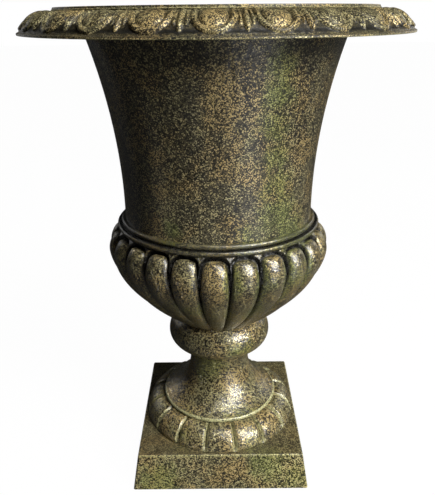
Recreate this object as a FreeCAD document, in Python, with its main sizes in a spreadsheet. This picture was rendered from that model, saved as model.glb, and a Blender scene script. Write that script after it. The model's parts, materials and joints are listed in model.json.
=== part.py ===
import FreeCAD
import Part
import Sketcher
import math
import os

# A campana urn planter in cast iron: six castings, a tie rod through the lower four of them,
# bolted flanges between bowl and body, and screws that hold the rim on the body.
# Millimetres, +Z up, origin on the ground under the middle of the plinth.

SIZES = {
    # square plinth, hollow from below
    "plinth_base_width": 180.0,
    "plinth_top_width": 168.0,
    "plinth_height": 39.0,
    "plinth_wall": 7.0,
    "plinth_plate": 8.0,
    "plinth_edge_round": 2.0,
    # registers that centre one casting in the next
    "spigot_height": 4.0,
    "spigot_wall": 4.0,
    "spigot_clearance": 0.3,
    # round foot: tongued torus, shoulder fillet, scotia, neck and collar
    "socle_radius": 81.5,
    "socle_spigot_radius": 48.0,
    "torus_height": 22.0,
    "torus_foot": 4.0,
    "torus_bulge": 4.0,
    "tongue_count": 16,
    "tongue_relief": 2.5,
    "tongue_gap_angle": 2.4,
    "tongue_top_inset": 1.0,
    "shoulder_radius": 61.5,
    "shoulder_height": 3.5,
    "scotia_height": 40.5,
    "neck_radius": 31.5,
    "neck_height": 15.5,
    "collar_radius": 35.0,
    "collar_height": 5.0,
    "neck_bore_radius": 17.0,
    "socle_hollow_foot": 14.0,
    # squat ball between foot and bowl
    "knop_height": 35.0,
    "knop_radius": 53.3,
    "knop_belly_height": 16.0,
    "knop_shoulder": 11.3,
    "knop_floor": 8.0,
    # gadrooned bowl, its two bead rings and its drain holes
    "bowl_foot_radius": 44.0,
    "bowl_belly_height": 82.5,
    "bowl_belly_swell": 11.0,
    "bowl_wall": 6.0,
    "bowl_floor": 8.0,
    "lobe_count": 24,
    "lobe_depth": 6.5,
    "lobe_top_rise": 21.0,
    "lobe_top_inset": 1.0,
    "lower_bead_overhang": 4.0,
    "lower_bead_height": 4.5,
    "upper_bead_overhang": 4.0,
    "upper_bead_height": 4.5,
    "drain_count": 4,
    "drain_radius": 3.0,
    "drain_margin": 1.0,
    # flaring body with an inner flange below and an outer flange above
    "body_radius": 91.0,
    "body_straight": 12.0,
    "body_height": 170.5,
    "body_flare": 25.5,
    "body_wall": 5.5,
    "body_flange": 7.0,
    "mouth_flange": 6.0,
    # overhanging rim with eggs, their frames and darts below a raised lip
    "lip_overhang": 22.1,
    "lip_width": 10.0,
    "lip_height": 3.5,
    "lip_step": 2.5,
    "lip_roll": 3.0,
    "ovolo_width": 23.5,
    "ovolo_bulge": 2.4,
    "band_width": 1.2,
    "band_height": 1.3,
    "band_step": 0.4,
    "rim_rise": 10.5,
    "rim_drop": 10.0,
    "rim_fillet_width": 3.0,
    "rim_fillet_height": 3.0,
    "rim_edge_height": 1.5,
    "rim_edge_width": 6.0,
    "rim_hollow": 5.0,
    "rim_register": 3.0,
    "egg_count": 24,
    "egg_width": 20.6,
    "egg_rise": 4.0,
    "frame_width": 4.9,
    "frame_rise": 1.4,
    "dart_rise": 1.8,
    # tie rod, its nuts, washers, seal and clamp bar
    "rod_radius": 5.0,
    "rod_clearance": 0.5,
    "rod_end": 3.0,
    "rod_nut_width": 17.0,
    "rod_nut_height": 8.0,
    "rod_washer_radius": 10.5,
    "rod_washer_thickness": 2.0,
    "seal_radius": 10.5,
    "seal_thickness": 2.0,
    "bar_width": 26.0,
    "bar_thickness": 6.0,
    "bar_bearing": 14.0,
    # flange bolts and rim screws share one thread
    "thread_clearance": 0.1,
    "bolt_radius": 3.0,
    "bolt_clearance": 0.4,
    "bolt_end": 2.0,
    "bolt_head_width": 10.0,
    "bolt_head_height": 4.0,
    "bolt_nut_height": 5.0,
    "bolt_washer_radius": 6.0,
    "bolt_washer_thickness": 1.6,
    "bolt_seat_margin": 1.5,
    "flange_bolt_count": 6,
    "rim_screw_count": 8,
    "rim_screw_depth": 7.0,
}

# the lobes rise from the bowl's foot to its belly on a curve of this power
LOBE_CURVE = 1.75
# heights of the bowl's sections, as shares of foot to belly and of belly to lobe top
LOWER_SECTIONS = (0.0, 0.1, 0.22, 0.36, 0.52, 0.68, 0.84)
UPPER_SECTIONS = (0.0, 0.3, 0.55, 0.8, 1.0)
# share of their depth that the grooves lose between the belly and the lobes' tops
LOBE_FADE = 0.85
# level sections of the rim's ornament: share of the way up to the lip, share of the eggs' full rise
RIM_SECTIONS = ((0.0, 0.25), (0.1, 0.0), (0.5, 1.0), (1.0, 0.6))

doc = FreeCAD.newDocument("campana_planter")
sheet = doc.addObject("Spreadsheet::Sheet", "Sizes")
for row, (alias, number) in enumerate(SIZES.items(), start=1):
    sheet.set(f"A{row}", alias)
    sheet.set(f"B{row}", str(number))
    sheet.setAlias(f"B{row}", alias)
doc.recompute()


class Size:
    """A length that carries the sheet expression which drives it and its present value."""

    def __init__(self, text, value):
        self.text = text
        self.value = value

    def __add__(self, other):
        other = as_size(other)
        return Size(f"({self.text} + {other.text})", self.value + other.value)

    def __sub__(self, other):
        other = as_size(other)
        return Size(f"({self.text} - {other.text})", self.value - other.value)

    def __mul__(self, other):
        other = as_size(other)
        return Size(f"({self.text} * {other.text})", self.value * other.value)

    def __truediv__(self, other):
        other = as_size(other)
        return Size(f"({self.text} / {other.text})", self.value / other.value)

    def __neg__(self):
        return Size(f"(-1 * {self.text})", -self.value)


def as_size(number):
    return number if isinstance(number, Size) else Size(repr(float(number)), float(number))


def size(alias):
    return Size(f"Sizes.{alias}", float(sheet.get(alias)))


def count(alias):
    return int(sheet.get(alias))


ZERO = as_size(0)


# Places that several pieces share

socle_bottom = size("plinth_height")
shoulder_top = size("torus_height") + size("shoulder_height")
neck_bottom = shoulder_top + size("scotia_height")
socle_height = neck_bottom + size("neck_height") + size("collar_height")
knop_bottom = socle_bottom + socle_height
bowl_bottom = knop_bottom + size("knop_height")
crown_height = size("lower_bead_height") + size("upper_bead_height")
lobe_top = size("bowl_belly_height") + size("lobe_top_rise")
crown_bottom = bowl_bottom + lobe_top
body_bottom = crown_bottom + crown_height
rim_seat = body_bottom + size("body_height") + size("mouth_flange")

plinth_opening = size("socle_spigot_radius") + size("spigot_clearance")
neck_spigot_radius = size("neck_bore_radius") + size("spigot_wall")
rod_hole_radius = size("rod_radius") + size("rod_clearance")
bolt_hole_radius = size("bolt_radius") + size("bolt_clearance")
bolt_seat = size("bolt_washer_radius") + size("bolt_seat_margin")

body_bore = size("body_radius") - size("body_wall")
flange_bolt_circle = body_bore - bolt_seat
bowl_flange_bore = flange_bolt_circle - bolt_seat
body_spigot_radius = bowl_flange_bore - size("spigot_clearance")
mouth_radius = size("body_radius") + size("body_flare")
mouth_bore = mouth_radius - size("body_wall")
rim_screw_circle = mouth_radius + bolt_seat
mouth_flange_radius = rim_screw_circle + bolt_seat
upper_bead_radius = size("body_radius") + size("upper_bead_overhang")
lower_bead_radius = upper_bead_radius + size("lower_bead_overhang")
lobe_top_radius = lower_bead_radius - size("lobe_top_inset")
bowl_belly_radius = lobe_top_radius + size("bowl_belly_swell")
lip_radius = mouth_radius + size("lip_overhang")
lip_bore = lip_radius - size("lip_width")
ovolo_top_radius = lip_radius + size("lip_step")
ovolo_low_radius = ovolo_top_radius + size("ovolo_width")
band_radius = ovolo_low_radius + size("band_width")
rim_radius = band_radius + size("rim_fillet_width")
rim_bottom = rim_seat - size("rim_drop")
fillet_bottom = rim_bottom + size("rim_edge_height")
band_bottom = rim_bottom + size("rim_fillet_height")
ovolo_bottom = band_bottom + size("band_height")
ovolo_top = rim_seat + size("rim_rise") - size("lip_height")
drain_circle = size("seal_radius") + size("drain_margin") + size("drain_radius")
bowl_spigot_bore = drain_circle + size("drain_radius") + size("drain_margin")
bowl_spigot_radius = bowl_spigot_bore + size("spigot_wall")
knop_bore = bowl_spigot_radius + size("spigot_clearance")


# Drawing helpers

def new_body(label, bottom):
    body = doc.addObject("PartDesign::Body", label)
    body.Label = label
    body.setExpression("Placement.Base.z", bottom.text)
    return body


def origin_plane(body, role):
    return next(item for item in body.Origin.OriginFeatures if item.Role == role)


def new_sketch(body, name, plane, offset=ZERO):
    sketch = body.newObject("Sketcher::SketchObject", name)
    sketch.AttachmentSupport = (origin_plane(body, plane), [""])
    sketch.MapMode = "FlatFace"
    sketch.setExpression("AttachmentOffset.Base.z", offset.text)
    return sketch


def arc_edge(start, end, radius, side):
    """The short arc from start to end, with its centre on the left of the way (side 1) or the right (-1)."""
    chord = end - start
    left = FreeCAD.Vector(-chord.y, chord.x, 0).normalize()
    centre = (start + end) / 2 + left * side * math.sqrt(radius**2 - (chord.Length / 2) ** 2)
    first, last = (start, end) if side > 0 else (end, start)
    angles = [math.atan2(point.y - centre.y, point.x - centre.x) for point in (first, last)]
    circle = Part.Circle(centre, FreeCAD.Vector(0, 0, 1), radius)
    return Part.ArcOfCircle(circle, angles[0], angles[1])


def outline(sketch, corners):
    """Close the sketch through the corners (across, up) or (across, up, radius, side) before an arc."""
    points = [FreeCAD.Vector(corner[0].value, corner[1].value, 0) for corner in corners]
    edges, ends, rules, driven = [], [], [], []

    def drive(kind, place, measure):
        driven.append((len(rules), measure))
        rules.append(Sketcher.Constraint(kind, *place, measure.value))

    for index, corner in enumerate(corners):
        start, end = points[index], points[(index + 1) % len(points)]
        bends = len(corner) > 2
        if bends:
            edges.append(arc_edge(start, end, corner[2].value, corner[3]))
        else:
            edges.append(Part.LineSegment(start, end))
        ends.append((2, 1) if bends and corner[3] < 0 else (1, 2))
    for index, corner in enumerate(corners):
        following = (index + 1) % len(corners)
        rules.append(Sketcher.Constraint("Coincident", index, ends[index][1], following, ends[following][0]))
        for kind, axis, measure in (("DistanceX", -2, corner[0]), ("DistanceY", -1, corner[1])):
            if measure is ZERO:
                rules.append(Sketcher.Constraint("PointOnObject", index, ends[index][0], axis))
            else:
                drive(kind, (-1, 1, index, ends[index][0]), measure)
        if len(corner) > 2:
            drive("Radius", (index,), corner[2])
    sketch.addGeometry(edges)
    sketch.addConstraint(rules)
    for index, measure in driven:
        sketch.setExpression(f"Constraints[{index}]", measure.text)
    return sketch


def circle_sketch(body, name, centre, radius, height):
    sketch = new_sketch(body, name, "XY_Plane", height)
    sketch.addGeometry(Part.Circle(FreeCAD.Vector(centre.value, 0, 0), FreeCAD.Vector(0, 0, 1), radius.value))
    sketch.addConstraint(Sketcher.Constraint("Radius", 0, radius.value))
    sketch.setExpression("Constraints[0]", radius.text)
    sketch.addConstraint(Sketcher.Constraint("PointOnObject", 0, 3, -1))
    if centre is ZERO:
        sketch.addConstraint(Sketcher.Constraint("PointOnObject", 0, 3, -2))
    else:
        sketch.addConstraint(Sketcher.Constraint("DistanceX", -1, 1, 0, 3, centre.value))
        sketch.setExpression("Constraints[2]", centre.text)
    return sketch


def upright_radius(across, up):
    """Radius of an arc that is upright at one end and spans this much across and up."""
    return (across * across + up * up) / (across * 2)


def bulge_radius(across, up, bulge):
    """Radius of an arc whose middle stands this far off its chord."""
    return (across * across + up * up + bulge * bulge * 4) / (bulge * 8)


def revolve(body, sketch, angle=None):
    turned = body.newObject("PartDesign::Revolution", f"{sketch.Name}_turned")
    turned.Profile = sketch
    turned.ReferenceAxis = (sketch, ["V_Axis"])
    turned.Angle = 360
    if angle is not None:
        turned.Midplane = True
        turned.setExpression("Angle", angle.text)
    return turned


def around(body, features, alias):
    """Repeat features around the vertical axis as often as the sheet says."""
    pattern = body.newObject("PartDesign::PolarPattern", f"{features[0].Name}_around")
    pattern.Originals = features
    pattern.Axis = (origin_plane(body, "Z_Axis"), [""])
    pattern.Angle = 360
    pattern.setExpression("Occurrences", f"Sizes.{alias}")
    body.Tip = pattern
    return pattern


def cut_down(body, sketch, depth=None):
    """Cut the sketch downwards, right through or to a depth."""
    pocket = body.newObject("PartDesign::Pocket", f"{sketch.Name}_cut")
    pocket.Profile = sketch
    pocket.Type = "ThroughAll" if depth is None else "Length"
    if depth is not None:
        pocket.setExpression("Length", depth.text)
    return pocket


def solid(kind, name, measures, place=(ZERO, ZERO, ZERO)):
    """A plain solid with its measures and its place driven by the sheet."""
    item = doc.addObject(f"Part::{kind}", name)
    for prop, measure in measures.items():
        item.setExpression(prop, measure.text)
    for axis, measure in zip("xyz", place):
        item.setExpression(f"Placement.Base.{axis}", measure.text)
    return item


def cylinder(name, radius, height, place):
    return solid("Cylinder", name, {"Radius": radius, "Height": height}, place)


def hexagon(name, width, height, place):
    prism = solid("Prism", name, {"Circumradius": width / math.sqrt(3), "Height": height}, place)
    prism.Polygon = 6
    return prism


def cut(name, base, tool):
    result = doc.addObject("Part::Cut", name)
    result.Base = base
    result.Tool = tool
    return result


def fuse(name, items):
    result = doc.addObject("Part::MultiFuse", name)
    result.Shapes = items
    return result


def group(name, items):
    result = doc.addObject("Part::Compound", name)
    result.Links = items
    return result


def ring(name, outer, inner, thickness, place):
    return cut(name, cylinder(f"{name}_disc", outer, thickness, place),
               cylinder(f"{name}_hole", inner, thickness, place))


def nut(name, width, inner, height, place):
    return cut(name, hexagon(f"{name}_hex", width, height, place),
               cylinder(f"{name}_hole", inner, height, place))


def places_on(circle, copies, height):
    """Places evenly spaced on a circle, the first on +X."""
    turns = [360 * copy / copies for copy in range(copies)]
    return [(Size(f"({circle.text} * cos({turn} deg))", circle.value * math.cos(math.radians(turn))),
             Size(f"({circle.text} * sin({turn} deg))", circle.value * math.sin(math.radians(turn))),
             height) for turn in turns]


# Plinth

def frustum(body, kind, name, low_width, high_width, height):
    """A square block that narrows upwards, added to the body or cut from it."""
    block = body.newObject(f"PartDesign::{kind}Wedge", name)
    for low, high, half in (("min", "max", low_width / 2), ("2min", "2max", high_width / 2)):
        for axis in "XZ":
            block.setExpression(f"{axis}{low}", (-half).text)
            block.setExpression(f"{axis}{high}", half.text)
    block.Ymin = 0
    block.setExpression("Ymax", height.text)
    block.Placement.Rotation = FreeCAD.Rotation(FreeCAD.Vector(1, 0, 0), 90)
    return block


def make_plinth():
    body = new_body("plinth", ZERO)
    base, top, height = size("plinth_base_width"), size("plinth_top_width"), size("plinth_height")
    walls = size("plinth_wall") * 2
    block = frustum(body, "Additive", "plinth_block", base, top, height)
    doc.recompute()
    rounded = body.newObject("PartDesign::Fillet", "plinth_edges")
    above_ground = [f"Edge{number}" for number, edge in enumerate(block.Shape.Edges, start=1)
                    if edge.BoundBox.ZMax > size("plinth_edge_round").value]
    rounded.Base = (block, above_ground)
    rounded.setExpression("Radius", size("plinth_edge_round").text)
    doc.recompute()
    frustum(body, "Subtractive", "plinth_hollow", base - walls, top - walls, height - size("plinth_plate"))
    doc.recompute()
    cut_down(body, circle_sketch(body, "socle_seat", ZERO, plinth_opening, height))
    return body


# Socle

def make_socle():
    body = new_body("socle", socle_bottom)
    relief = size("tongue_relief")
    foot_radius, torus_top = size("socle_radius"), size("torus_height")
    shoulder, neck, collar = size("shoulder_radius"), size("neck_radius"), size("collar_radius")
    top = socle_height
    bore = size("neck_bore_radius")
    spigot, inside = size("socle_spigot_radius"), size("socle_spigot_radius") - size("spigot_wall")
    torus_bend = bulge_radius(foot_radius - shoulder, torus_top - size("torus_foot"), size("torus_bulge"))
    scotia_bend = upright_radius(shoulder - neck, size("scotia_height"))
    core = outline(new_sketch(body, "socle_core", "XZ_Plane"), [
        (inside, -size("spigot_height")),
        (spigot, -size("spigot_height")),
        (spigot, ZERO),
        (foot_radius - relief, ZERO),
        (foot_radius - relief, size("torus_foot"), torus_bend, 1),
        (shoulder - relief, torus_top),
        (shoulder, torus_top),
        (shoulder, shoulder_top, scotia_bend, -1),
        (neck, neck_bottom),
        (collar, top - size("collar_height")),
        (collar, top),
        (neck_spigot_radius, top),
        (neck_spigot_radius, top + size("spigot_height")),
        (bore, top + size("spigot_height")),
        (bore, neck_bottom),
        (inside, size("socle_hollow_foot")),
    ])
    revolve(body, core)
    doc.recompute()
    tongue = outline(new_sketch(body, "tongue", "XZ_Plane"), [
        (foot_radius - relief * 2, ZERO),
        (foot_radius, ZERO),
        (foot_radius, size("torus_foot"), torus_bend, 1),
        (shoulder - size("tongue_top_inset"), torus_top),
        (shoulder - relief * 2, torus_top),
    ])
    full_turn = as_size(360) / size("tongue_count")
    around(body, [revolve(body, tongue, full_turn - size("tongue_gap_angle"))], "tongue_count")
    return body


# Knop

def make_knop():
    body = new_body("knop", knop_bottom)
    belly, belly_up = size("knop_radius"), size("knop_belly_height")
    collar, shoulder, top = size("collar_radius"), belly - size("knop_shoulder"), size("knop_height")
    socket = neck_spigot_radius + size("spigot_clearance")
    section = outline(new_sketch(body, "knop_section", "XZ_Plane"), [
        (socket, ZERO),
        (collar, ZERO, upright_radius(belly - collar, belly_up), 1),
        (belly, belly_up, upright_radius(belly - shoulder, top - belly_up), 1),
        (shoulder, top),
        (knop_bore, top),
        (knop_bore, size("knop_floor")),
        (socket, size("knop_floor")),
    ])
    revolve(body, section)
    return body


# Bowl

def lobe_sections():
    """Height, crest radius and groove depth of the bowl's sections, from its foot to the lobes' tops."""
    foot, belly, top = size("bowl_foot_radius").value, bowl_belly_radius.value, lobe_top_radius.value
    belly_up, top_up = size("bowl_belly_height").value, lobe_top.value
    depth = size("lobe_depth").value
    for share in LOWER_SECTIONS:
        crest = belly - (belly - foot) * (1 - share) ** LOBE_CURVE
        yield belly_up * share, crest, depth * crest / belly
    for share in UPPER_SECTIONS:
        crest = belly - (belly - top) * share**2
        yield belly_up + (top_up - belly_up) * share, crest, depth * (1 - LOBE_FADE * share**2)


def scalloped_wire(height, crest, depth):
    """A closed ring of arcs, one for each lobe, with the middle of a lobe at the front."""
    lobes = count("lobe_count")
    half_turn = math.pi / lobes

    def point(radius, turn):
        angle = turn - math.pi / 2
        return FreeCAD.Vector(radius * math.cos(angle), radius * math.sin(angle), height)

    arcs = []
    for lobe in range(lobes):
        middle = 2 * half_turn * lobe
        ends = [point(crest - depth, middle + side * half_turn) for side in (-1, 1)]
        arcs.append(Part.Arc(ends[0], point(crest, middle), ends[1]).toShape())
    return Part.Wire(arcs)


def bowl_hollow():
    """The space inside the bowl, one wall inside the grooves, from its floor up to its flange."""
    floor, wall = size("bowl_floor").value, size("bowl_wall").value
    rows = [(height, crest - depth - wall) for height, crest, depth in lobe_sections()]
    above = next(index for index, row in enumerate(rows) if row[0] > floor)
    (low, low_radius), (high, high_radius) = rows[above - 1], rows[above]
    floor_radius = low_radius + (high_radius - low_radius) * (floor - low) / (high - low)
    wall_points = [FreeCAD.Vector(floor_radius, 0, floor)]
    wall_points += [FreeCAD.Vector(radius, 0, height) for height, radius in rows[above:]]
    axis_low, axis_high = FreeCAD.Vector(0, 0, floor), FreeCAD.Vector(0, 0, wall_points[-1].z)
    section = Part.makePolygon([axis_low, *wall_points, axis_high, axis_low])
    return Part.Face(section).revolve(FreeCAD.Vector(0, 0, 0), FreeCAD.Vector(0, 0, 1), 360)


def shaped(name, shape, height):
    item = doc.addObject("Part::Feature", name)
    item.Shape = shape
    item.setExpression("Placement.Base.z", height.text)
    return item


def make_crown():
    """The ring on top of the lobes: two half round beads outside, the bolting flange inside."""
    body = new_body("bowl_crown", crown_bottom)
    lower_up, upper_up = size("lower_bead_height"), size("upper_bead_height")
    lower_bulge, upper_bulge = lower_up / 3, upper_up / 3
    lower, upper = lower_bead_radius - lower_bulge, upper_bead_radius - upper_bulge
    section = outline(new_sketch(body, "crown_section", "XZ_Plane"), [
        (bowl_flange_bore, ZERO),
        (lower, ZERO, bulge_radius(ZERO, lower_up, lower_bulge), 1),
        (lower, lower_up),
        (upper, lower_up, bulge_radius(ZERO, upper_up, upper_bulge), 1),
        (upper, crown_height),
        (bowl_flange_bore, crown_height),
    ])
    revolve(body, section)
    return body


def make_bowl():
    wires = [scalloped_wire(*row) for row in lobe_sections()]
    lobes = Part.makeLoft(wires, True, True)
    shell = cut("bowl_shell", shaped("bowl_lobes", lobes, bowl_bottom),
                shaped("bowl_hollow", bowl_hollow(), bowl_bottom))
    spigot = ring("bowl_spigot", bowl_spigot_radius, bowl_spigot_bore, size("spigot_height"),
                  (ZERO, ZERO, bowl_bottom - size("spigot_height")))
    whole = fuse("bowl_whole", [shell, make_crown(), spigot])
    floor = size("bowl_floor")
    holes = [cylinder("bowl_rod_hole", rod_hole_radius, floor, (ZERO, ZERO, bowl_bottom))]
    for place in places_on(drain_circle, count("drain_count"), bowl_bottom):
        holes.append(cylinder("bowl_drain", size("drain_radius"), floor, place))
    for place in places_on(flange_bolt_circle, count("flange_bolt_count"), crown_bottom):
        holes.append(cylinder("bowl_bolt_hole", bolt_hole_radius, crown_height, place))
    return cut("bowl", whole, fuse("bowl_holes", holes))


# Body

def make_body():
    body = new_body("body", body_bottom)
    outside, mouth = size("body_radius"), mouth_radius
    straight, flange_up = size("body_straight"), size("body_height")
    top = flange_up + size("mouth_flange")
    spigot_bore = body_spigot_radius - size("spigot_wall")
    section = outline(new_sketch(body, "body_section", "XZ_Plane"), [
        (spigot_bore, -size("spigot_height")),
        (body_spigot_radius, -size("spigot_height")),
        (body_spigot_radius, ZERO),
        (outside, ZERO),
        (outside, straight, upright_radius(mouth - outside, flange_up - straight), -1),
        (mouth, flange_up),
        (mouth_flange_radius, flange_up),
        (mouth_flange_radius, top),
        (mouth_bore, top, upright_radius(mouth_bore - body_bore, top - straight), 1),
        (body_bore, straight),
        (body_bore, size("body_flange")),
        (spigot_bore, size("body_flange")),
    ])
    revolve(body, section)
    doc.recompute()
    lower = cut_down(body, circle_sketch(body, "bolt_hole", flange_bolt_circle, bolt_hole_radius,
                                         size("body_flange")))
    around(body, [lower], "flange_bolt_count")
    doc.recompute()
    upper = cut_down(body, circle_sketch(body, "screw_hole", rim_screw_circle, bolt_hole_radius, top),
                     size("mouth_flange"))
    around(body, [upper], "rim_screw_count")
    return body


# Rim

def ornament_wire(share, egg):
    """A level ring of arches over eggs, frames and darts, with the middle of an egg at the front."""
    across, up = size("ovolo_width").value, (ovolo_top - ovolo_bottom).value
    slant = math.hypot(across, up)
    lift = size("ovolo_bulge").value * 4 * share * (1 - share)
    ground = ovolo_low_radius.value - across * share + up / slant * lift
    height = up * share + across / slant * lift

    def point(rise, turn):
        radius, angle = ground + slant / up * rise, turn - math.pi / 2
        return FreeCAD.Vector(radius * math.cos(angle), radius * math.sin(angle), height)

    eggs = count("egg_count")
    bay = 2 * math.pi / eggs
    face_radius = (ovolo_top_radius + ovolo_low_radius) / 2
    egg_end = (size("egg_width") / face_radius / 2).value
    frame_end = egg_end + (size("frame_width") / face_radius).value
    turns = (-egg_end, egg_end, frame_end, bay - frame_end, bay - egg_end)
    frame_rise = size("frame_rise").value
    rises = (egg * size("egg_rise").value, frame_rise, size("dart_rise").value, frame_rise)
    arches = []
    for number in range(eggs):
        for first, last, rise in zip(turns, turns[1:], rises):
            start, end = point(0, number * bay + first), point(0, number * bay + last)
            crest = point(rise, number * bay + (first + last) / 2)
            arch = Part.BezierCurve()
            arch.setPoles([start, crest * 2 - (start + end) / 2, end])
            arches.append(arch.toShape())
    return Part.Wire(arches)


def make_rim_inside():
    """The space inside the rim: the hollow under its overhang, the body's flange and the rolled mouth."""
    body = new_body("rim_inside", rim_seat)
    edge, register = -size("rim_drop"), -size("rim_register")
    inner_edge = rim_radius - size("rim_edge_width")
    register_bore = mouth_flange_radius + size("spigot_clearance")
    register_radius = register_bore + size("spigot_wall")
    hollow_bend = bulge_radius(inner_edge - register_radius, edge - register, size("rim_hollow"))
    roll_bend = bulge_radius(lip_bore - mouth_bore, size("rim_rise"), size("lip_roll"))
    section = outline(new_sketch(body, "inside_section", "XZ_Plane"), [
        (ZERO, edge),
        (inner_edge, edge, hollow_bend, 1),
        (register_radius, register),
        (register_bore, register),
        (register_bore, ZERO),
        (mouth_bore, ZERO, roll_bend, -1),
        (lip_bore, size("rim_rise")),
        (ZERO, size("rim_rise")),
    ])
    revolve(body, section)
    return body


def tapered(name, low_radius, high_radius, low, high):
    return solid("Cone", name, {"Radius1": low_radius, "Radius2": high_radius, "Height": high - low},
                 (ZERO, ZERO, low))


def make_rim():
    wires = [ornament_wire(*row) for row in RIM_SECTIONS]
    ornament = shaped("rim_ornament", Part.makeLoft(wires, True, True), ovolo_bottom)
    edge = cylinder("rim_edge", rim_radius, size("rim_edge_height"), (ZERO, ZERO, rim_bottom))
    fillet = tapered("rim_fillet", rim_radius, band_radius, fillet_bottom, band_bottom)
    band = tapered("rim_band", band_radius, ovolo_low_radius - size("band_step"), band_bottom, ovolo_bottom)
    lip = cylinder("rim_lip", lip_radius, size("lip_height"), (ZERO, ZERO, ovolo_top))
    shell = cut("rim_shell", fuse("rim_whole", [edge, fillet, band, ornament, lip]), make_rim_inside())
    threaded = size("bolt_radius") + size("thread_clearance")
    holes = [cylinder("rim_screw_hole", threaded, size("rim_screw_depth"), place)
             for place in places_on(rim_screw_circle, count("rim_screw_count"), rim_seat)]
    return cut("rim", shell, fuse("rim_holes", holes))


# Tie rod and what it clamps

def make_rod_set():
    floor_top = bowl_bottom + size("bowl_floor")
    seal_top = floor_top + size("seal_thickness")
    washer_top = seal_top + size("rod_washer_thickness")
    rod_top = washer_top + size("rod_nut_height") + size("rod_end")
    bar_top = size("plinth_height") - size("plinth_plate")
    bar_bottom = bar_top - size("bar_thickness")
    low_washer = bar_bottom - size("rod_washer_thickness")
    low_nut = low_washer - size("rod_nut_height")
    rod_bottom = low_nut - size("rod_end")
    threaded = size("rod_radius") + size("thread_clearance")
    nut_size = (size("rod_nut_width"), threaded, size("rod_nut_height"))
    washer_size = (size("rod_washer_radius"), rod_hole_radius, size("rod_washer_thickness"))
    seal_size = (size("seal_radius"), rod_hole_radius, size("seal_thickness"))
    bar_length = (plinth_opening + size("bar_bearing")) * 2
    bar = solid("Box", "bar_stock",
                {"Length": bar_length, "Width": size("bar_width"), "Height": size("bar_thickness")},
                (-bar_length / 2, -size("bar_width") / 2, bar_bottom))
    bar_hole = cylinder("bar_hole", rod_hole_radius, size("bar_thickness"), (ZERO, ZERO, bar_bottom))
    return [
        cylinder("tie_rod", size("rod_radius"), rod_top - rod_bottom, (ZERO, ZERO, rod_bottom)),
        ring("tie_rod_seal", *seal_size, (ZERO, ZERO, floor_top)),
        ring("tie_rod_top_washer", *washer_size, (ZERO, ZERO, seal_top)),
        nut("tie_rod_top_nut", *nut_size, (ZERO, ZERO, washer_top)),
        cut("clamp_bar", bar, bar_hole),
        ring("tie_rod_bottom_washer", *washer_size, (ZERO, ZERO, low_washer)),
        nut("tie_rod_bottom_nut", *nut_size, (ZERO, ZERO, low_nut)),
    ]


# Flange bolts and rim screws

def copies(label, make, circle, alias, height):
    places = places_on(circle, count(alias), height)
    return group(label, [make(f"{label}_{number}", place) for number, place in enumerate(places, start=1)])


def washers(label, circle, alias, height):
    def washer(name, place):
        return ring(name, size("bolt_washer_radius"), bolt_hole_radius, size("bolt_washer_thickness"), place)
    return copies(label, washer, circle, alias, height)


def bolts(label, circle, alias, head_bottom, shank_bottom, shank_length):
    def bolt(name, place):
        head = hexagon(f"{name}_head", size("bolt_head_width"), size("bolt_head_height"), place)
        shank = cylinder(f"{name}_shank", size("bolt_radius"), shank_length, place[:2] + (shank_bottom,))
        return fuse(name, [head, shank])
    return copies(label, bolt, circle, alias, head_bottom)


def make_flange_set():
    circle, alias = flange_bolt_circle, "flange_bolt_count"
    washer, nut_height = size("bolt_washer_thickness"), size("bolt_nut_height")
    top = body_bottom + size("body_flange")
    underside = body_bottom - crown_height
    nut_bottom = underside - washer - nut_height
    shank_bottom = nut_bottom - size("bolt_end")

    def bolt_nut(name, place):
        threaded = size("bolt_radius") + size("thread_clearance")
        return nut(name, size("bolt_head_width"), threaded, nut_height, place)

    head_bottom = top + washer
    return [
        bolts("flange_bolts", circle, alias, head_bottom, shank_bottom, head_bottom - shank_bottom),
        washers("flange_bolt_washers", circle, alias, top),
        washers("flange_nut_washers", circle, alias, underside - washer),
        copies("flange_nuts", bolt_nut, circle, alias, nut_bottom),
    ]


def make_rim_screws():
    circle, alias = rim_screw_circle, "rim_screw_count"
    underside = rim_seat - size("mouth_flange")
    washer_bottom = underside - size("bolt_washer_thickness")
    head_bottom = washer_bottom - size("bolt_head_height")
    reach = rim_seat + size("rim_screw_depth") - size("bolt_end")
    return [
        bolts("rim_screws", circle, alias, head_bottom, washer_bottom, reach - washer_bottom),
        washers("rim_screw_washers", circle, alias, washer_bottom),
    ]


sub_parts = [make_plinth(), make_socle(), make_knop(), make_bowl(), make_body(), make_rim()]
sub_parts += make_rod_set() + make_flange_set() + make_rim_screws()
doc.recompute()

for item in doc.Objects:
    if "Invalid" in item.State or "Error" in item.State:
        raise RuntimeError(f"{item.Label} failed: {item.State}")
for item in sub_parts:
    if item.Shape.isNull() or not item.Shape.isValid():
        raise RuntimeError(f"{item.Label} has no valid shape")

os.makedirs("parts", exist_ok=True)
for item in sub_parts:
    item.Shape.exportStep(f"parts/{item.Label}.step")
    print(f"{item.Label}: {len(item.Shape.Solids)} solid, {item.Shape.Volume / 1000:.1f} cm3")
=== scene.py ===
# %% [markdown]
# # A campana planter in cast iron
#
# The frame holds the planter as it is built: six castings, a tie rod and small bolts. Its solids have the
# right sizes and places. This lesson gives them their looks. The ornamented castings are carved again in
# fine detail, and every surface gets the worn bronze and green finish of the real one.

# %% Load the frame
import json
import math

import bpy
import numpy as np
from mathutils import Matrix, Vector

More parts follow.
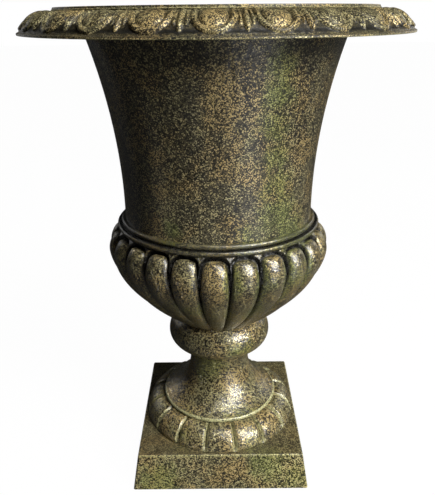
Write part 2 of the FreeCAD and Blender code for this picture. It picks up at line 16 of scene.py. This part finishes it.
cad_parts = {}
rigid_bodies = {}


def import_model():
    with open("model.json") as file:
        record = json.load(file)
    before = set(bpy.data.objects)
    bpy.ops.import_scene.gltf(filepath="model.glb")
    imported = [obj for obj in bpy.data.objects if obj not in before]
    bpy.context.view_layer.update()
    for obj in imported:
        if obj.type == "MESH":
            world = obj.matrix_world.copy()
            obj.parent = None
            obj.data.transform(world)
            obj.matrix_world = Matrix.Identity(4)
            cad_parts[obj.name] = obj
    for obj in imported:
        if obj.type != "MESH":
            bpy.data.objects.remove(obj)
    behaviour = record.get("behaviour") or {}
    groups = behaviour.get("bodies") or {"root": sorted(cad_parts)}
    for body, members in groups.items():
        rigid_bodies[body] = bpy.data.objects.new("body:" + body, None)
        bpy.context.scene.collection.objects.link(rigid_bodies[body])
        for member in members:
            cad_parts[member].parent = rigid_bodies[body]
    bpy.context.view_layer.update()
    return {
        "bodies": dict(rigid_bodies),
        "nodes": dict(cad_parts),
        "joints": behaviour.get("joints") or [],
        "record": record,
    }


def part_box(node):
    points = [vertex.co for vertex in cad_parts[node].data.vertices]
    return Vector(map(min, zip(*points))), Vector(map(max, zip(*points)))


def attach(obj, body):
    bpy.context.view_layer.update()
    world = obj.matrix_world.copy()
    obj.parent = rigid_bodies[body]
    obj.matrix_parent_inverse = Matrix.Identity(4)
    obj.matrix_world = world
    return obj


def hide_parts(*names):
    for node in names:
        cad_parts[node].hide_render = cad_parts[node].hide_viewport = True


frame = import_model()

print("nodes:", sorted(frame["nodes"]))

# %% [markdown]
# ## Camera
#
# The photograph was taken from close by, a little below the lip and looking down at the foot. So the rim
# looks nearly flat while the plinth shows its whole top. A camera could be set by eye, but here its place,
# tilt and lens were worked out from the outlines of rim, belly and foot, so that all of them fit at once.

# %% Place the camera
FRAME_WIDTH, FRAME_HEIGHT = 435, 495
SENSOR = 36.0
FOCAL_PIXELS = 567.1
CAMERA_PLACE = Vector((-0.0009, -0.5366, 0.4547))
CAMERA_DOWN = 0.3922
CAMERA_ROLL = -0.0096

bpy.ops.object.select_all(action="DESELECT")
bpy.ops.object.camera_add(location=CAMERA_PLACE)
camera = bpy.context.object
tilt = Matrix.Rotation(math.pi / 2 - CAMERA_DOWN, 3, "X") @ Matrix.Rotation(CAMERA_ROLL, 3, "Z")
camera.rotation_euler = tilt.to_euler()
camera.data.sensor_width = SENSOR
camera.data.lens = FOCAL_PIXELS / max(FRAME_WIDTH, FRAME_HEIGHT) * SENSOR
camera.data.clip_start = 0.01
bpy.context.scene.camera = camera
print("lens", round(camera.data.lens, 2), "mm")

# %% [markdown]
# ## How a casting is turned and carved
#
# Each casting is round, so its pattern was turned on a lathe and then carved with a pattern that repeats.
# The same is done here. A section is drawn by extruding one vertex from corner to corner, and spun through
# one bay of the pattern. The bay is then carved: each vertex of the ornament is pushed in or out along the
# section's normal by a height that depends on where it lies. Sculpting strokes could do that too, but a
# height written as a formula gives the same crisp edge in every bay. Last, the bay is spun round in copies.

# %% Select one piece only
MM = 0.001


def only(piece):
    bpy.ops.object.select_all(action="DESELECT")
    piece.select_set(True)
    bpy.context.view_layer.objects.active = piece


# %% Points of an arc between two corners of a section
def arc(start, end, bulge, steps):
    """Points from start to end, with the middle this far to the left of the straight way."""
    start, end = np.array(start, float), np.array(end, float)
    chord = end - start
    length = np.hypot(*chord)
    left = np.array((-chord[1], chord[0])) / length
    radius = (length**2 / 4 + bulge**2) / (2 * abs(bulge))
    centre = (start + end) / 2 + left * (bulge - math.copysign(radius, bulge))
    first = math.atan2(*(start - centre)[::-1])
    swing = math.atan2(*(end - centre)[::-1]) - first
    swing = (swing + math.pi) % (2 * math.pi) - math.pi
    angles = first + swing * np.linspace(0, 1, steps)
    return centre + radius * np.stack((np.cos(angles), np.sin(angles)), 1)


# %% Draw a closed section in the XZ plane
def drawn_section(name, corners):
    bpy.ops.object.select_all(action="DESELECT")
    bpy.ops.mesh.primitive_plane_add(size=MM)
    piece = bpy.context.object
    piece.name = piece.data.name = name
    bpy.ops.object.mode_set(mode="EDIT")
    bpy.ops.mesh.merge(type="CENTER")
    places = [Vector((across, 0, up)) * MM for across, up in corners]
    bpy.ops.transform.translate(value=places[0])
    for here, there in zip(places, places[1:]):
        bpy.ops.mesh.extrude_vertices_move(TRANSFORM_OT_translate={"value": there - here})
    bpy.ops.mesh.select_all(action="DESELECT")
    bpy.ops.object.mode_set(mode="OBJECT")
    piece.data.vertices[0].select = True
    piece.data.vertices[len(places) - 1].select = True
    bpy.ops.object.mode_set(mode="EDIT")
    bpy.ops.mesh.edge_face_add()
    bpy.ops.mesh.select_all(action="SELECT")
    bpy.ops.object.mode_set(mode="OBJECT")
    return piece


# %% Spin one bay, carve it and repeat it around the axis
def carved_ring(name, before, ornament, after, bays, steps, height, turn=0.0, wear_and_painted_light=()):
    """A casting whose section has plain corners before and after the rows that carry the ornament.

    Rows painted pale, as wear and painted highlight, and rows painted dark, as painted shade, are given by the
    least
    radius, two heights and a level: over 1 is painted pale, near 0 is painted dark.
    """
    corners = np.concatenate((before, ornament, after))
    piece = drawn_section(name, corners)
    bay = 2 * math.pi / bays
    only(piece)
    bpy.ops.object.mode_set(mode="EDIT")
    bpy.ops.mesh.select_all(action="SELECT")
    bpy.ops.mesh.spin(steps=steps, angle=bay, center=(0, 0, 0), axis=(0, 0, 1))
    bpy.ops.object.mode_set(mode="OBJECT")
    carve(piece, corners, len(before), ornament, bay, height, turn, wear_and_painted_light)
    bpy.ops.object.mode_set(mode="EDIT")
    bpy.ops.mesh.select_all(action="SELECT")
    bpy.ops.mesh.spin(steps=bays - 1, dupli=True, angle=bay * (bays - 1), center=(0, 0, 0), axis=(0, 0, 1))
    bpy.ops.mesh.select_all(action="SELECT")
    bpy.ops.mesh.remove_doubles(threshold=0.01 * MM)
    bpy.ops.mesh.normals_make_consistent(inside=False)
    bpy.ops.object.mode_set(mode="OBJECT")
    return piece


def carve(piece, corners, skipped, ornament, bay, height, turn, wear_and_painted_light):
    """Push the ornament's rows in or out, turn the bay to the front and keep each place's level, which the
    finish turns into painted shade, wear and painted highlight.
    """
    mesh = piece.data
    points = np.empty(len(mesh.vertices) * 3, np.float32)
    mesh.vertices.foreach_get("co", points)
    points = points.reshape(-1, 3).astype(float) / MM
    across = np.hypot(points[:, 0], points[:, 1])
    gap = (across[:, None] - corners[:, 0]) ** 2 + (points[:, 2:] - corners[:, 1]) ** 2
    row = gap.argmin(1)
    angle = np.abs(np.arctan2(points[:, 1], points[:, 0]))
    side = 2 * angle / bay - 1
    slope = np.gradient(ornament, axis=0)
    slope /= np.hypot(slope[:, 0], slope[:, 1])[:, None]
    outward = np.stack((slope[:, 1], -slope[:, 0]), 1)
    if outward[:, 0].sum() < 0:
        outward = -outward
    carved = (row >= skipped) & (row < skipped + len(ornament))
    place = row[carved] - skipped
    lift, raised = height(place, side[carved])
    radius, up = corners[row, 0].copy(), corners[row, 1].copy()
    radius[carved] += outward[place, 0] * lift
    up[carved] += outward[place, 1] * lift
    angle = side * bay / 2 - math.pi / 2 + turn
    points = np.stack((radius * np.cos(angle), radius * np.sin(angle), up), 1) * MM
    mesh.vertices.foreach_set("co", points.ravel())
    level = np.full(len(mesh.vertices), 0.5)
    # Rows given a level here are painted: a low level as painted shade, a level over 1 pale as wear and painted
    # highlight.
    for least, low, high, given in wear_and_painted_light:
        level[(radius > least) & (up > low) & (up < high)] = given
    level[carved] = raised
    mesh.attributes.new("raised", "FLOAT", "POINT").data.foreach_set("value", level)
    mesh.update()


def smoothstep(low, high, value):
    share = np.clip((value - low) / (high - low), 0, 1)
    return share * share * (3 - 2 * share)


# %% Drill round holes
def drilled(piece, holes):
    """Cut upright holes, each given by its place, radius, bottom and top in millimetres."""
    drills = []
    for x, y, radius, low, high in holes:
        bpy.ops.object.select_all(action="DESELECT")
        bpy.ops.mesh.primitive_cylinder_add(vertices=32, radius=radius * MM, depth=(high - low) * MM,
                                            location=(x * MM, y * MM, (low + high) / 2 * MM))
        drills.append(bpy.context.object)
    for drill in drills:
        drill.select_set(True)
    bpy.ops.object.join()
    drill = bpy.context.object
    bpy.ops.object.transform_apply(location=True, rotation=True, scale=True)
    only(piece)
    cut = piece.modifiers.new("holes", "BOOLEAN")
    cut.object = drill
    cut.operation = "DIFFERENCE"
    cut.solver = "MANIFOLD"
    bpy.ops.object.modifier_apply(modifier=cut.name)
    bpy.data.objects.remove(drill)


def hole_circle(radius, count, hole, low, high):
    turns = [2 * math.pi * number / count for number in range(count)]
    return [(radius * math.cos(turn), radius * math.sin(turn), hole, low, high) for turn in turns]


def finished(piece, node, angle):
    only(piece)
    bpy.ops.object.shade_smooth_by_angle(angle=math.radians(angle))
    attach(piece, "root")
    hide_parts(node)
    low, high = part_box(node)
    print(piece.name, len(piece.data.polygons), "faces, node box", list(low), list(high))


# %% [markdown]
# ## Rim
#
# The rim hangs over the body like a turned down leaf. Its curved face carries egg and dart: smooth eggs,
# each in a raised frame like an open shell, with a narrow dart and two thin veins between two frames. They
# could be separate meshes pushed into the moulding. In a casting they grow out of one skin, so they are
# one height over the plain curve, with the highest of these forms winning at each place.

# %% Turn and carve the rim
RIM_BAYS = 24
rim_face = arc((141.1, 456.5), (166.8, 442.0), 4.0, 46)
rim_before = [
    (128.6, 460.0), (137.9, 460.0), (138.4, 459.8), (138.6, 459.3), (138.6, 458.7),
    (139.2, 458.4), (139.5, 457.9), (139.2, 457.3), (138.7, 457.0), (139.2, 456.5),
]
rim_after = np.concatenate((
    [(168.5, 441.2), (168.8, 440.7), (168.8, 439.9), (168.4, 439.5), (162.8, 439.5)],
    arc((162.8, 439.5), (135.8, 446.5), -5.0, 10)[1:],
    [(131.8, 446.5), (131.8, 449.5), (111.0, 449.5)],
    arc((111.0, 449.5), (128.6, 460.0), 3.0, 10)[1:-1],
))
rim_way = np.linspace(0, 1, len(rim_face))


def ridge(off, half_width, high):
    """A rounded ridge, by how far each place is off its middle."""
    return high * np.sqrt(np.clip(1 - (off / half_width) ** 2, 0, 1))


def egg_and_dart(row, side):
    down, side = rim_way[row], np.abs(side)
    from_middle = down - 0.42
    egg_reach = np.where(from_middle > 0, 0.42, 0.56)
    egg = ridge(np.hypot(side / 0.46, from_middle / egg_reach), 1.0, 2.9)
    frame = ridge(np.hypot(side / 0.63, np.clip(from_middle, 0, 1) / 0.475) - 1, 0.16, 2.2)
    from_dart = 1 - side
    dart = ridge(np.hypot(from_dart / 0.10, np.clip(down - 0.7, 0, 1) / 0.22), 1.0, 2.4)
    vein = ridge(np.hypot((from_dart - 0.19) / 0.065, np.clip(down - 0.55, 0, 1) / 0.2), 1.0, 1.6)
    ornament = np.maximum.reduce((egg, frame, dart, vein))
    ground = 0.7 * (1 - smoothstep(0.86, 1.0, down))
    lift = (ornament - ground) * (0.3 + 0.7 * smoothstep(0, 0.25, down))
    # The level falls in the carving's recesses and over the plain band at the foot of the face, which the
    # finish paints dark as painted shade.
    return lift, np.clip(0.6 + lift / 2.2 - 0.25 * smoothstep(0.8, 0.95, down), 0, 1)


# The plain band above the lower edge is painted dark as painted shade; the lowest edge and the bead under the
# lip are painted pale, as wear and painted highlight.
rim_wear_and_painted_light = ((160.0, 440.1, 442.0, 0.35), (168.2, 439.0, 440.1, 1.3), (138.9, 457.2, 458.5, 1.2))
rim = carved_ring("rim_casting", rim_before, rim_face, rim_after, RIM_BAYS, 48, egg_and_dart,
                  turn=math.radians(-0.7), wear_and_painted_light=rim_wear_and_painted_light)
drilled(rim, hole_circle(124.0, 8, 3.1, 448.5, 456.5))
finished(rim, "rim", 40)

# %% [markdown]
# ## Bowl
#
# The bowl carries 24 gadroons: long lobes that swell like fingers and end in a round tip under the ring.
# Between two tips stands a thin fillet that sinks into the groove further down. The lobes follow the bowl's
# own curve, so the height is measured down from that curve and never above it.

# %% Turn and carve the bowl
BOWL_BAYS = 24
LOBE_HEIGHTS = np.concatenate((np.linspace(160.5, 239.0, 200), np.linspace(239.0, 264.0, 200)[1:]))
below = np.clip((243.0 - LOBE_HEIGHTS) / 82.5, 0, 1)
above = np.clip((LOBE_HEIGHTS - 243.0) / 21.0, 0, 1)
crest = np.stack((109.0 - 65.0 * below**1.75 - 11.0 * above**2, LOBE_HEIGHTS), 1)
crest_way = np.concatenate(([0], np.cumsum(np.hypot(*np.diff(crest, axis=0).T))))
bowl_length = crest_way[-1]
tip_start = bowl_length - 30
bowl_way = np.concatenate((np.linspace(0, tip_start, 50), np.linspace(tip_start, bowl_length, 34)[1:]))
bowl_face = np.stack([np.interp(bowl_way, crest_way, crest[:, axis]) for axis in (0, 1)], 1)
bowl_before = [(18.5, 160.5), (18.5, 156.5), (22.5, 156.5), (22.5, 160.5)]
bowl_after = np.concatenate((
    arc((97.5, 264.0), (97.5, 268.5), -1.5, 8),
    arc((93.5, 268.5), (93.5, 273.0), -1.5, 8),
    [(70.5, 273.0), (70.5, 264.0), (91.0, 264.0), (95.0, 254.0), (96.5, 243.0), (90.0, 220.0)],
    [(77.0, 200.0), (58.4, 180.0), (45.2, 168.5), (5.5, 168.5), (5.5, 160.5)],
))


def gadroons(row, side):
    way, radius, side = bowl_way[row], bowl_face[row, 0], np.abs(side)
    half = math.pi * radius / BOWL_BAYS
    from_ring = bowl_length - way
    near_tip = 1 - smoothstep(8, 42, from_ring)
    lobe_side = 0.97 - 0.12 * near_tip
    tip = np.clip((10.5 - from_ring) / 9.5, 0, 2)
    edge = ((side / lobe_side) ** 2.6 + tip**2.6) ** (1 / 2.6)
    depth = 7.0 * radius / 109.0 * smoothstep(-8, 14, way)
    dome = depth * (1 - np.sqrt(np.clip(1 - edge**2, 0, 1)))
    outside = (edge - 1) * lobe_side * half
    groove = 0.6 + 0.9 * near_tip
    fillet = depth - (depth - 1.2) * near_tip
    ground = depth - (depth - fillet) * smoothstep(groove, groove + 0.9, outside)
    lift = -np.where(edge < 1, dome, ground)
    # The level falls from each lobe's crest down its sides and is low in the grooves and on the fillets; the
    # finish paints low levels dark as painted shade.
    return lift, np.where(edge < 1, 1 + lift / 7.0, 0.42 * smoothstep(0, 1.2, outside - groove))


# The ring band, its lower edge and the groove between the two rings are painted dark as painted shade.
bowl_painted_shade = ((90.0, 263.0, 273.1, 0.4), (92.0, 263.0, 264.5, 0.1), (92.0, 268.1, 268.9, 0.1))
bowl = carved_ring("bowl_casting", bowl_before, bowl_face, bowl_after, BOWL_BAYS, 32, gadroons,
                   turn=math.radians(-2.0), wear_and_painted_light=bowl_painted_shade)
drilled(bowl, hole_circle(14.5, 4, 3.0, 159.5, 169.5) + hole_circle(78.0, 6, 3.4, 263.0, 274.0))
finished(bowl, "bowl", 40)

# %% [markdown]
# ## Socle
#
# The round foot has a quarter round moulding divided into 16 tongues. Each tongue is a soft pad, and its
# edges roll down into a sharp groove. Above them stand a bead, a deep hollow and the neck. The grooves could
# be cut with thin wedges and a Boolean, but the rolled edges need a height that falls off smoothly.

# %% Turn and carve the socle
SOCLE_BAYS = 16
socle_face = np.concatenate((
    [(80.9, 39.0), (81.3, 39.4), (81.5, 40.0), (81.5, 41.5)],
    arc((81.5, 43.0), (60.5, 61.0), -5.0, 44),
))
socle_before = [(44.0, 35.0), (48.0, 35.0), (48.0, 39.0)]
socle_after = np.concatenate((
    arc((60.6, 61.0), (60.0, 65.2), -1.5, 12),
    arc((59.4, 65.5), (31.5, 105.0), 6.9, 30),
    [(31.8, 110.0), (32.5, 114.5), (33.4, 118.0), (34.3, 120.3), (35.0, 121.6), (35.0, 124.9), (34.4, 125.5)],
    [(21.0, 125.5), (21.0, 129.5), (17.0, 129.5), (17.0, 105.0), (44.0, 53.0)],
))


def tongues(row, side):
    side = np.abs(side)
    into = np.clip((side - 0.8) / 0.2, 0, 1)
    depth = (0.9 * side**4 + 3.2 * into**1.3) * smoothstep(0, 6, row)
    # The groove's bottom gets a low level, painted shade, and the rolled flanks a level over 1, painted pale as
    # wear and painted highlight.
    return -depth, np.where(into > 0.88, 0.2, np.where(into > 0.1, 1.35, 1.0))


# The fillet on the disc's edge is painted pale, as wear and painted highlight.
socle = carved_ring("socle_casting", socle_before, socle_face, socle_after, SOCLE_BAYS, 54, tongues,
                    wear_and_painted_light=((60.2, 61.1, 65.1, 1.6),))
finished(socle, "socle", 40)

# %% [markdown]
# ## Writing shader maths
#
# A finish is a set of formulas over noise. Wiring each one by hand takes many Math nodes, so a small class
# wraps a socket, and plain arithmetic on it adds the nodes. Every other node comes from one method.

# %% A socket that can be reckoned with
class Tap:
    """A node socket in a material's tree. Arithmetic on it adds Math nodes."""

    def __init__(self, tree, socket=None):
        self.tree = tree
        self.socket = socket

    def node(self, kind, settings=None, inputs=None, output=0):
        made = self.tree.nodes.new(kind)
        for name, value in (settings or {}).items():
            setattr(made, name, value)
        for name, value in (inputs or {}).items():
            if isinstance(value, Tap):
                self.tree.links.new(value.socket, made.inputs[name])
            else:
                made.inputs[name].default_value = value
        return Tap(self.tree, made.outputs[output]) if len(made.outputs) else made

    def also(self, output):
        """Another output of the node that this socket belongs to."""
        return Tap(self.tree, self.socket.node.outputs[output])

    def math(self, operation, *values):
        return self.node("ShaderNodeMath", {"operation": operation}, dict(enumerate(values)))

    def __add__(self, other):
        return self.math("ADD", self, other)

    def __radd__(self, other):
        return self.math("ADD", other, self)

    def __sub__(self, other):
        return self.math("SUBTRACT", self, other)

    def __rsub__(self, other):
        return self.math("SUBTRACT", other, self)

    def __mul__(self, other):
        return self.math("MULTIPLY", self, other)

    def __rmul__(self, other):
        return self.math("MULTIPLY", other, self)

    def between(self, low, high):
        """0 below low, 1 above high and a soft step from one to the other."""
        return self.node("ShaderNodeMapRange", {"interpolation_type": "SMOOTHSTEP"},
                         {"Value": self, "From Min": low, "From Max": high})

    def mix(self, first, second):
        """A blend of two colours, with this value as the share of the second."""
        return self.node("ShaderNodeMix", {"data_type": "RGBA"}, {0: self, 6: first, 7: second}, output=2)

    def noise(self, scale, detail=2.0, roughness=0.5):
        return self.node("ShaderNodeTexNoise", None,
                         {"Vector": self, "Scale": scale, "Detail": detail, "Roughness": roughness})


def new_material(name):
    material = bpy.data.materials.new(name)
    material.use_nodes = True
    tree = material.node_tree
    tree.nodes.clear()
    return material, Tap(tree)


def rgb(red, green, blue):
    return (red, green, blue, 1.0)


# %% [markdown]
# ## The patinated iron finish
#
# The castings were painted nearly black, then brushed with bronze and ochre that caught only on the grains
# of the sand. Green was dabbed on last, by hand and in a few places, and it gathers in grooves. So each cell of
# a fine Voronoi texture is one grain, and its random value says whether it takes the brush. The carved level
# paints the grooves and some plain bands dark as painted shade and some edges pale, partly as wear and partly
# as painted highlight, and each dab of green is a soft ball around its place. On the plinth the top edge is
# painted pale the same way, and the gold grains are painted paler towards the right as a painted highlight.
# The rim is duller than the rest, so every casting states its own grain, gold and gloss.

# %% Make the patinated iron
GREEN_DABS = (
    (0.050, -0.098, 0.420, 0.022), (0.048, -0.092, 0.395, 0.024), (0.046, -0.090, 0.370, 0.024),
    (0.048, -0.086, 0.345, 0.024), (0.050, -0.083, 0.320, 0.026), (0.054, -0.078, 0.295, 0.034),
    (0.066, -0.066, 0.275, 0.034), (0.026, -0.090, 0.280, 0.020), (-0.040, -0.084, 0.282, 0.014),
    (0.014, -0.106, 0.240, 0.022), (0.044, -0.098, 0.236, 0.030), (0.074, -0.078, 0.236, 0.036),
    (0.030, -0.086, 0.204, 0.032), (-0.024, -0.092, 0.206, 0.022), (0.024, -0.046, 0.140, 0.022),
    (-0.014, -0.030, 0.112, 0.020), (0.034, -0.070, 0.050, 0.032), (-0.040, -0.068, 0.052, 0.026),
    (0.050, -0.088, 0.032, 0.036), (-0.062, -0.090, 0.010, 0.034), (0.076, -0.088, 0.012, 0.028),
)


def dabbed(start, place):
    """How much green was dabbed at a place, the most of all dabs."""
    most = None
    for x, y, z, reach in GREEN_DABS:
        away = start.node("ShaderNodeVectorMath", {"operation": "DISTANCE"},
                          {0: place, 1: (x, y, z)}, output=1)
        near = 1.0 - away * (1 / reach)
        most = near if most is None else most.math("MAXIMUM", most, near)
    return most


def patinated_iron(name, grains, rich, gloss, carved=False, slab=None):
    """Brushed iron with this many sand grains to the metre, more gold where it is rich.

    A slab has a dark top at the height given, a top edge painted pale as wear and painted highlight, and gold
    grains painted paler towards its right side as a painted highlight.
    """
    material, start = new_material(name)
    place = start.node("ShaderNodeTexCoord", output=3)
    cells = place.node("ShaderNodeTexVoronoi", None, {"Vector": place, "Scale": grains})
    grain = start.node("ShaderNodeSeparateColor", None, {0: cells.also(1)})
    blotch = place.noise(170, 4, 0.6)
    patch = place.noise(35, 3, 0.55)
    run = place.node("ShaderNodeMapping", None, {"Vector": place, "Scale": (70, 70, 8)})
    streak = run.noise(1.0, 3, 0.6)
    stands = grain + (blotch - 0.5) * 0.2 + (streak - 0.5) * 0.5 + (rich * 0.12 - 0.08)
    brush = stands.between(0.34, 0.50)
    gold = (stands + (patch - 0.5) * 0.5).between(0.64, 0.80)
    warm = patch.between(0.42, 0.62)
    bronze = warm.mix(rgb(0.084 + rich * 0.05, 0.073 + rich * 0.042, 0.038 + rich * 0.012),
                      rgb(0.104 + rich * 0.06, 0.080 + rich * 0.042, 0.034 + rich * 0.010))
    colour = brush.mix(rgb(0.004, 0.0035, 0.0025), bronze)
    colour = gold.mix(colour, warm.mix(rgb(0.42, 0.38, 0.20), rgb(0.46, 0.355, 0.16)))
    green = dabbed(start, place) + (blotch - 0.5) * 1.2 + (streak - 0.5) * 1.2
    if carved:
        raised = start.node("ShaderNodeAttribute", {"attribute_name": "raised"}, output=2)
        green = green + raised.between(1.0, 0.5) * 0.7 - 0.35
    lime = gold.mix(rgb(0.110, 0.140, 0.030), rgb(0.26, 0.31, 0.09))
    colour = (green.between(0.1, 0.9) * (0.1 + brush * 0.45)).mix(colour, lime)
    if carved:
        # Painted shade: places with a low level, the carving's recesses and rows given a low level, are painted
        # near black.
        colour = raised.between(0.6, 0.15).mix(colour, rgb(0.004, 0.004, 0.003))
        # Wear and painted highlight: places with a level over 1 are painted pale.
        wear_and_painted_light = raised.between(1.0, 1.6) * stands.between(0.0, 0.4)
        colour = wear_and_painted_light.mix(colour, rgb(0.40, 0.39, 0.20))
    if slab:
        across = start.node("ShaderNodeSeparateXYZ", None, {0: place})
        height = across.also(2)
        # Painted highlight: the gold grains are painted paler towards the right side, where the lamps stand.
        colour = (across.between(0.02, 0.10) * gold * 0.5).mix(colour, rgb(0.70, 0.62, 0.28))
        # Wear and painted highlight: the rounded top edge is painted pale.
        wear_and_painted_light = height.between(slab - 0.0028, slab - 0.0016) * height.between(slab - 0.0001, slab - 0.0005)
        colour = (wear_and_painted_light * stands.between(0.1, 0.6) * 0.6).mix(colour, rgb(0.36, 0.34, 0.15))
        colour = (height.between(slab - 0.0004, slab - 0.0001) * 0.55).mix(colour, rgb(0.050, 0.040, 0.020))
    relief = grain * 0.5 - cells * 0.12 + blotch * 1.2
    bump = start.node("ShaderNodeBump", None, {"Height": relief, "Strength": 1.0, "Distance": 0.0007})
    shader = start.node("ShaderNodeBsdfPrincipled", None, {
        "Base Color": colour,
        "Roughness": (0.52 - gloss * 0.24) - gold * 0.06,
        "Metallic": gold * 0.3,
        "Specular IOR Level": gloss,
        "Normal": bump,
    })
    start.node("ShaderNodeOutputMaterial", None, {"Surface": shader})
    return material


def dress(nodes, material):
    for node in nodes:
        mesh = frame["nodes"][node].data
        mesh.materials.clear()
        mesh.materials.append(material)
    print(material.name, "on", nodes)


carved_finishes = ((rim, 1600.0, 0.3, 0.35), (bowl, 1200.0, 0.2, 0.9), (socle, 1000.0, 0.8, 0.9))
for piece, grains, rich, gloss in carved_finishes:
    piece.data.materials.clear()
    piece.data.materials.append(patinated_iron(piece.name + "_finish", grains, rich, gloss, carved=True))
    print(piece.data.materials[0].name, "on", piece.name)
dress(["body"], patinated_iron("body_finish", 1200.0, -0.15, 0.7))
dress(["knop"], patinated_iron("knop_finish", 1000.0, 0.7, 0.9))
dress(["plinth"], patinated_iron("plinth_finish", 1000.0, 0.7, 0.6, slab=0.039))

# %% [markdown]
# ## Zinc and rubber
#
# The tie rod, nuts, bolts and washers hold the castings together out of sight. Zinc plating is a dull grey
# with faint cloudy spangles, and the seal under the upper washer is matt black rubber with dust on it.

# %% Make the zinc and the rubber
def zinc_steel():
    material, start = new_material("dull_zinc")
    place = start.node("ShaderNodeTexCoord", output=3)
    cloud = place.noise(160, 3, 0.6)
    drawn = place.node("ShaderNodeMapping", None, {"Vector": place, "Scale": (900, 900, 90)})
    scratch = drawn.noise(1.0, 2, 0.5)
    stain = place.noise(45, 3, 0.6).between(0.55, 0.75)
    colour = cloud.between(0.3, 0.7).mix(rgb(0.30, 0.30, 0.29), rgb(0.47, 0.47, 0.45))
    colour = (stain * 0.4).mix(colour, rgb(0.16, 0.12, 0.08))
    bump = start.node("ShaderNodeBump", None,
                      {"Height": scratch + cloud, "Strength": 0.2, "Distance": 0.0003})
    shader = start.node("ShaderNodeBsdfPrincipled", None, {
        "Base Color": colour,
        "Roughness": 0.34 + cloud * 0.2 + stain * 0.2,
        "Metallic": 1.0 - stain * 0.5,
        "Normal": bump,
    })
    start.node("ShaderNodeOutputMaterial", None, {"Surface": shader})
    return material


def seal_rubber():
    material, start = new_material("seal_rubber")
    place = start.node("ShaderNodeTexCoord", output=3)
    dust = place.noise(380, 4, 0.65)
    colour = dust.between(0.45, 0.75).mix(rgb(0.022, 0.022, 0.022), rgb(0.075, 0.072, 0.066))
    bump = start.node("ShaderNodeBump", None, {"Height": dust, "Strength": 0.3, "Distance": 0.0002})
    shader = start.node("ShaderNodeBsdfPrincipled", None, {
        "Base Color": colour,
        "Roughness": 0.62 + dust * 0.3,
        "Normal": bump,
    })
    start.node("ShaderNodeOutputMaterial", None, {"Surface": shader})
    return material


dress(["tie_rod_seal"], seal_rubber())
dress(["tie_rod", "tie_rod_top_washer", "tie_rod_top_nut", "clamp_bar", "tie_rod_bottom_washer",
       "tie_rod_bottom_nut", "flange_bolts", "flange_bolt_washers", "flange_nut_washers", "flange_nuts",
       "rim_screws", "rim_screw_washers"], zinc_steel())

# %% [markdown]
# ## Floor and light
#
# The photograph has a white ground, two soft lights on the right and hardly any light from the left. A small
# lamp near the ground stands for the light that comes back from the table, and two weak ones behind draw thin
# bright edges. The floor is a wide plane that the camera sees as white, with a trace of the plinth's shadow.
# All other rays see it dim, because a white floor would veil the dark iron.

# %% Lay the floor
bpy.ops.object.select_all(action="DESELECT")
bpy.ops.mesh.primitive_plane_add(size=12.0, location=(0, 3.0, -0.0002))
floor = bpy.context.object
floor.name = "floor"
bpy.ops.object.transform_apply(location=True)
floor_paint, start = new_material("pale_floor")
seen = start.node("ShaderNodeLightPath", output=0)
dim = start.node("ShaderNodeBsdfDiffuse", None, {"Color": rgb(0.08, 0.08, 0.08)})
pale = start.node("ShaderNodeBsdfDiffuse", None, {"Color": rgb(0.9, 0.9, 0.9)})
white = start.node("ShaderNodeEmission", None, {"Color": rgb(1, 1, 1), "Strength": 1.0})
shown = start.node("ShaderNodeMixShader", None, {0: 0.985, 1: pale, 2: white})
blend = start.node("ShaderNodeMixShader", None, {0: seen, 1: dim, 2: shown})
start.node("ShaderNodeOutputMaterial", None, {"Surface": blend})
floor.data.materials.append(floor_paint)
print(floor.name, "in", floor_paint.name)

# %% Set the world
world = bpy.data.worlds.new("studio")
bpy.context.scene.world = world
world.use_nodes = True
world.node_tree.nodes.clear()
air = Tap(world.node_tree)
seen = air.node("ShaderNodeLightPath", output=0)
soft = air.node("ShaderNodeBackground", None, {"Color": rgb(0.95, 0.97, 1.0), "Strength": 0.006})
white = air.node("ShaderNodeBackground", None, {"Color": rgb(1, 1, 1), "Strength": 1.0})
sky = air.node("ShaderNodeMixShader", None, {0: seen, 1: soft, 2: white})
air.node("ShaderNodeOutputWorld", None, {"Surface": sky})
print("world", world.name)


# %% Hang the lamps
def lamp(name, place, aim, width, power, colour):
    bpy.ops.object.select_all(action="DESELECT")
    bpy.ops.object.light_add(type="AREA", location=place)
    light = bpy.context.object
    light.name = name
    light.rotation_euler = (Vector(aim) - Vector(place)).to_track_quat("-Z", "Y").to_euler()
    light.data.shape = "DISK"
    light.data.size = width
    light.data.energy = power
    light.data.color = colour
    print(name, "at", place, power, "W")


lamp("key", (1.09, -0.97, 0.90), (0.0, 0.0, 0.22), 0.5, 34.0, (1.0, 0.98, 0.94))
lamp("high", (0.53, -0.75, 1.53), (0.0, 0.0, 0.22), 0.5, 22.0, (1.0, 0.98, 0.94))
lamp("low", (0.30, -0.42, 0.04), (0.0, 0.0, 0.30), 0.2, 0.6, (1.0, 1.0, 1.0))
lamp("left", (-1.10, 0.92, 0.60), (0.0, 0.0, 0.22), 0.7, 1.5, (1.0, 1.0, 1.0))
lamp("right", (1.10, 0.92, 0.60), (0.0, 0.0, 0.22), 0.7, 2.5, (1.0, 1.0, 1.0))

scene = bpy.context.scene
scene.view_settings.view_transform = "Standard"
